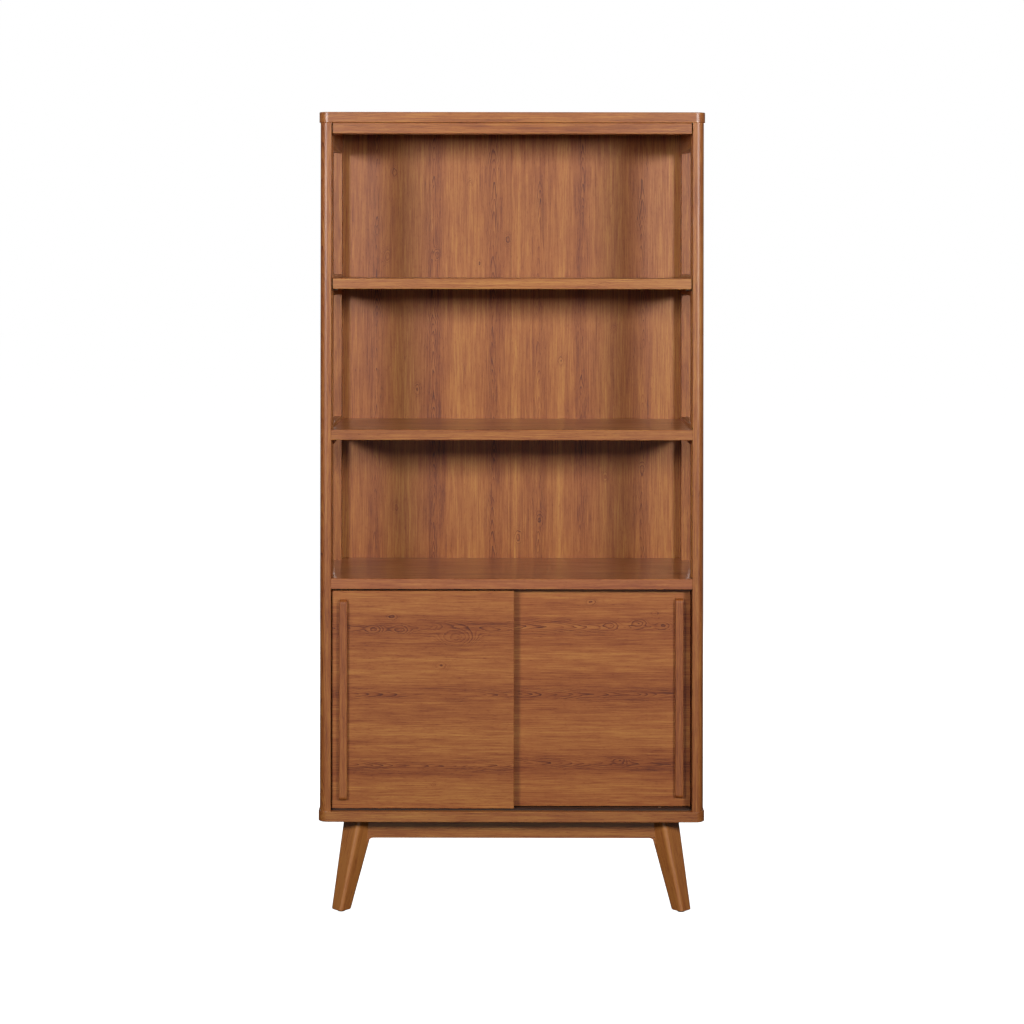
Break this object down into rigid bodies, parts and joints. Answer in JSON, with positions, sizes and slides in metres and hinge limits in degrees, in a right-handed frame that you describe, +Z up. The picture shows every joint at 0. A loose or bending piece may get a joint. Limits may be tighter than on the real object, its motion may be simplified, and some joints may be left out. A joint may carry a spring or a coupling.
{
  "type": "bookcase with sliding doors",
  "caption": "Tall wooden bookcase on splayed tapered legs: open bays with fixed and adjustable shelves above a cabinet closed by sliding doors with tall bar handles.",
  "frame": {"origin": "on the floor, under the middle of the case", "axes": "+X to the right as seen from the front, +Y towards the back, +Z up"},
  "size_m": [0.882, 0.381, 1.832],
  "materials": {
    "case_veneer": "satin lacquered cherry-brown veneer",
    "door_veneer": "satin lacquered cherry-brown veneer, grain across",
    "back_veneer": "satin veneer, leaves side by side",
    "base_wood": "satin lacquered solid wood",
    "handle_wood": "satin lacquered solid wood",
    "track_plastic": "dark brown-grey extruded plastic",
    "glide_plastic": "smooth nylon",
    "foot_plastic": "dark hard plastic",
    "plated_steel": "zinc plated",
    "dowel_wood": "plain beech"
  },
  "bodies": {
    "cabinet": {"top_panel": "case_veneer", "bottom_panel": "case_veneer", "deck": "case_veneer", "middle_shelf": "case_veneer", "upper_shelf": "case_veneer", "cabinet_shelf": "case_veneer", "left_front_post": "case_veneer", "right_front_post": "case_veneer", "left_rear_post": "case_veneer", "right_rear_post": "case_veneer", "left_side_panel": "case_veneer", "right_side_panel": "case_veneer", "top_rail": "case_veneer", "left_middle_side_rail": "case_veneer", "left_upper_side_rail": "case_veneer", "left_top_side_rail": "case_veneer", "right_middle_side_rail": "case_veneer", "right_upper_side_rail": "case_veneer", "right_top_side_rail": "case_veneer", "back_panel": "back_veneer", "lower_door_track": "track_plastic", "upper_door_track": "track_plastic", "front_left_leg": "base_wood", "front_right_leg": "base_wood", "rear_left_leg": "base_wood", "rear_right_leg": "base_wood", "front_left_corner_block": "base_wood", "front_right_corner_block": "base_wood", "rear_left_corner_block": "base_wood", "rear_right_corner_block": "base_wood", "front_apron": "base_wood", "rear_apron": "base_wood", "left_apron": "base_wood", "right_apron": "base_wood", "front_left_foot_glide": "foot_plastic", "front_right_foot_glide": "foot_plastic", "rear_left_foot_glide": "foot_plastic", "rear_right_foot_glide": "foot_plastic", "upper_shelf_pins": "plated_steel", "cabinet_shelf_pins": "plated_steel", "back_panel_screws": "plated_steel", "track_screws": "plated_steel", "base_screws": "plated_steel", "leg_bolts": "plated_steel", "carcass_dowels": "dowel_wood"},
    "left_door": {"left_door_panel": "door_veneer", "left_door_handle": "handle_wood", "left_handle_screws": "plated_steel", "left_door_glides": "glide_plastic", "left_door_guide_pins": "glide_plastic"},
    "right_door": {"right_door_panel": "door_veneer", "right_door_handle": "handle_wood", "right_handle_screws": "plated_steel", "right_door_glides": "glide_plastic", "right_door_guide_pins": "glide_plastic"}
  },
  "joints": [
    {"name": "left_door_slide", "type": "slide", "parent": "cabinet", "child": "left_door", "axis": [1, 0, 0], "range_m": [0, 0.398]},
    {"name": "right_door_slide", "type": "slide", "parent": "cabinet", "child": "right_door", "axis": [1, 0, 0], "range_m": [-0.398, 0]}
  ]
}
